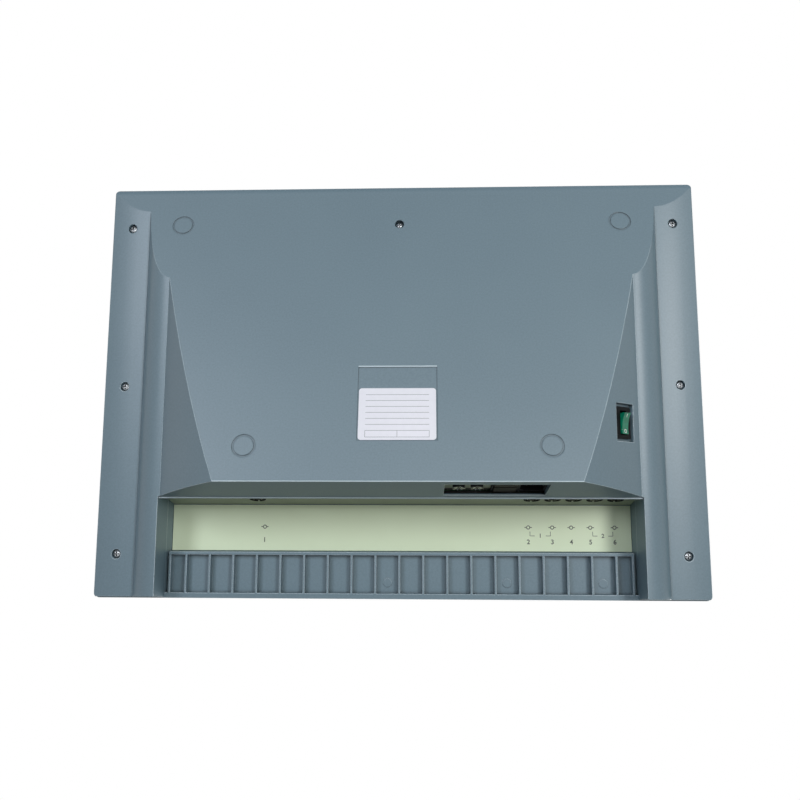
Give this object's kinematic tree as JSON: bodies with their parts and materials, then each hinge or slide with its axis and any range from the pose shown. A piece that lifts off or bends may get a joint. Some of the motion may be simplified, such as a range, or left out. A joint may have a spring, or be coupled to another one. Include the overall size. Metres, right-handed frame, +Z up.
{
  "type": "audiometer",
  "caption": "Desktop audiometer in a wedge-shaped plastic case: sloping control panel with display, keys and dials on top; rocker power switch, rear socket bay and ribbed ledge below.",
  "frame": {"origin": "middle of the case's outline, on the table that the base stands on", "axes": "+X to the user's right, +Y away from the user towards the sockets, +Z up"},
  "size_m": [0.42, 0.289, 0.0822],
  "materials": {
    "case_shell": "fine moulded texture",
    "overlay_sheet": "printed polycarbonate sheet",
    "painted_plate": "pale green paint",
    "label_paper": "white film",
    "screw_steel": "zinc plated",
    "black_plastic": "moulded",
    "green_lens": "translucent green",
    "plated_brass": "tin plated",
    "circuit_board": "solder resist",
    "key_plastic": "fine moulded texture",
    "clear_lens": "clear",
    "display_glass": "liquid crystal cell",
    "ferrite": "ferrite and tape",
    "cable_grey": "flat cable",
    "aluminium_plate": "mill finish"
  },
  "bodies": {
    "case": {"lower_cover": "case_shell", "upper_cover": "case_shell", "panel_overlay": "overlay_sheet", "socket_panel": "case_shell", "socket_label_plate": "painted_plate", "connector_plate": "painted_plate", "rating_label": "label_paper", "case_screws": "screw_steel", "power_switch_body": "black_plastic", "switch_terminals": "plated_brass", "mains_inlet": "black_plastic", "inlet_pins": "screw_steel", "fuse_drawer": "black_plastic", "data_sockets": "screw_steel", "audio_sockets": "black_plastic", "audio_socket_nuts": "black_plastic", "control_board": "circuit_board", "board_screws": "screw_steel", "tact_switches": "black_plastic", "indicator_lamps": "green_lens", "left_encoder": "screw_steel", "right_encoder": "screw_steel", "display_lens": "clear_lens", "display_board": "circuit_board", "display_glass": "display_glass", "display_frame": "screw_steel", "main_board": "circuit_board", "main_board_parts": "black_plastic", "power_board": "circuit_board", "power_transformer": "ferrite", "power_capacitors": "black_plastic", "power_heat_sink": "aluminium_plate", "monitor_speaker": "black_plastic", "ribbon_cable": "cable_grey"},
    "power_rocker": {"power_rocker": "green_lens"},
    "left_dial": {"left_dial": "black_plastic", "left_dial_shaft": "screw_steel"},
    "right_dial": {"right_dial": "black_plastic", "right_dial_shaft": "screw_steel"},
    "left_tone_bar": {"left_tone_bar": "key_plastic"},
    "right_tone_bar": {"right_tone_bar": "key_plastic"},
    "key_1": {"key_1": "key_plastic"},
    "key_2": {"key_2": "key_plastic"},
    "key_3": {"key_3": "key_plastic"},
    "key_4": {"key_4": "key_plastic"},
    "key_5": {"key_5": "key_plastic"},
    "key_6": {"key_6": "key_plastic"},
    "key_7": {"key_7": "key_plastic"},
    "key_8": {"key_8": "key_plastic"},
    "key_9": {"key_9": "key_plastic"},
    "key_10": {"key_10": "key_plastic"}
  },
  "joints": [
    {"name": "power_rocker_tilt", "type": "hinge", "parent": "case", "child": "power_rocker", "pos_m": [0.14652, 0.03613, 0.01631], "axis": [-0.7516, 0.1596, -0.64], "range_deg": [0, 18]},
    {"name": "left_dial_turn", "type": "hinge", "parent": "case", "child": "left_dial", "pos_m": [-0.14, -0.04788, 0.04321], "axis": [0, -0.2419, 0.9703], "continuous": true},
    {"name": "right_dial_turn", "type": "hinge", "parent": "case", "child": "right_dial", "pos_m": [0.14, -0.04788, 0.04321], "axis": [0, -0.2419, 0.9703], "continuous": true},
    {"name": "left_tone_bar_press", "type": "slide", "parent": "case", "child": "left_tone_bar", "axis": [0, 0.2419, -0.9703], "range_m": [0, 0.002], "stiffness_N_per_m": 400, "springref_m": -0.002},
    {"name": "right_tone_bar_press", "type": "slide", "parent": "case", "child": "right_tone_bar", "axis": [0, 0.2419, -0.9703], "range_m": [0, 0.002], "stiffness_N_per_m": 400, "springref_m": -0.002},
    {"name": "key_1_press", "type": "slide", "parent": "case", "child": "key_1", "axis": [0, 0.2419, -0.9703], "range_m": [0, 0.0015], "stiffness_N_per_m": 400, "springref_m": -0.001},
    {"name": "key_2_press", "type": "slide", "parent": "case", "child": "key_2", "axis": [0, 0.2419, -0.9703], "range_m": [0, 0.0015], "stiffness_N_per_m": 400, "springref_m": -0.001},
    {"name": "key_3_press", "type": "slide", "parent": "case", "child": "key_3", "axis": [0, 0.2419, -0.9703], "range_m": [0, 0.0015], "stiffness_N_per_m": 400, "springref_m": -0.001},
    {"name": "key_4_press", "type": "slide", "parent": "case", "child": "key_4", "axis": [0, 0.2419, -0.9703], "range_m": [0, 0.0015], "stiffness_N_per_m": 400, "springref_m": -0.001},
    {"name": "key_5_press", "type": "slide", "parent": "case", "child": "key_5", "axis": [0, 0.2419, -0.9703], "range_m": [0, 0.0015], "stiffness_N_per_m": 400, "springref_m": -0.001},
    {"name": "key_6_press", "type": "slide", "parent": "case", "child": "key_6", "axis": [0, 0.2419, -0.9703], "range_m": [0, 0.0015], "stiffness_N_per_m": 400, "springref_m": -0.001},
    {"name": "key_7_press", "type": "slide", "parent": "case", "child": "key_7", "axis": [0, 0.2419, -0.9703], "range_m": [0, 0.0015], "stiffness_N_per_m": 400, "springref_m": -0.001},
    {"name": "key_8_press", "type": "slide", "parent": "case", "child": "key_8", "axis": [0, 0.2419, -0.9703], "range_m": [0, 0.0015], "stiffness_N_per_m": 400, "springref_m": -0.001},
    {"name": "key_9_press", "type": "slide", "parent": "case", "child": "key_9", "axis": [0, 0.2419, -0.9703], "range_m": [0, 0.0015], "stiffness_N_per_m": 400, "springref_m": -0.001},
    {"name": "key_10_press", "type": "slide", "parent": "case", "child": "key_10", "axis": [0, 0.2419, -0.9703], "range_m": [0, 0.0015], "stiffness_N_per_m": 400, "springref_m": -0.001}
  ]
}
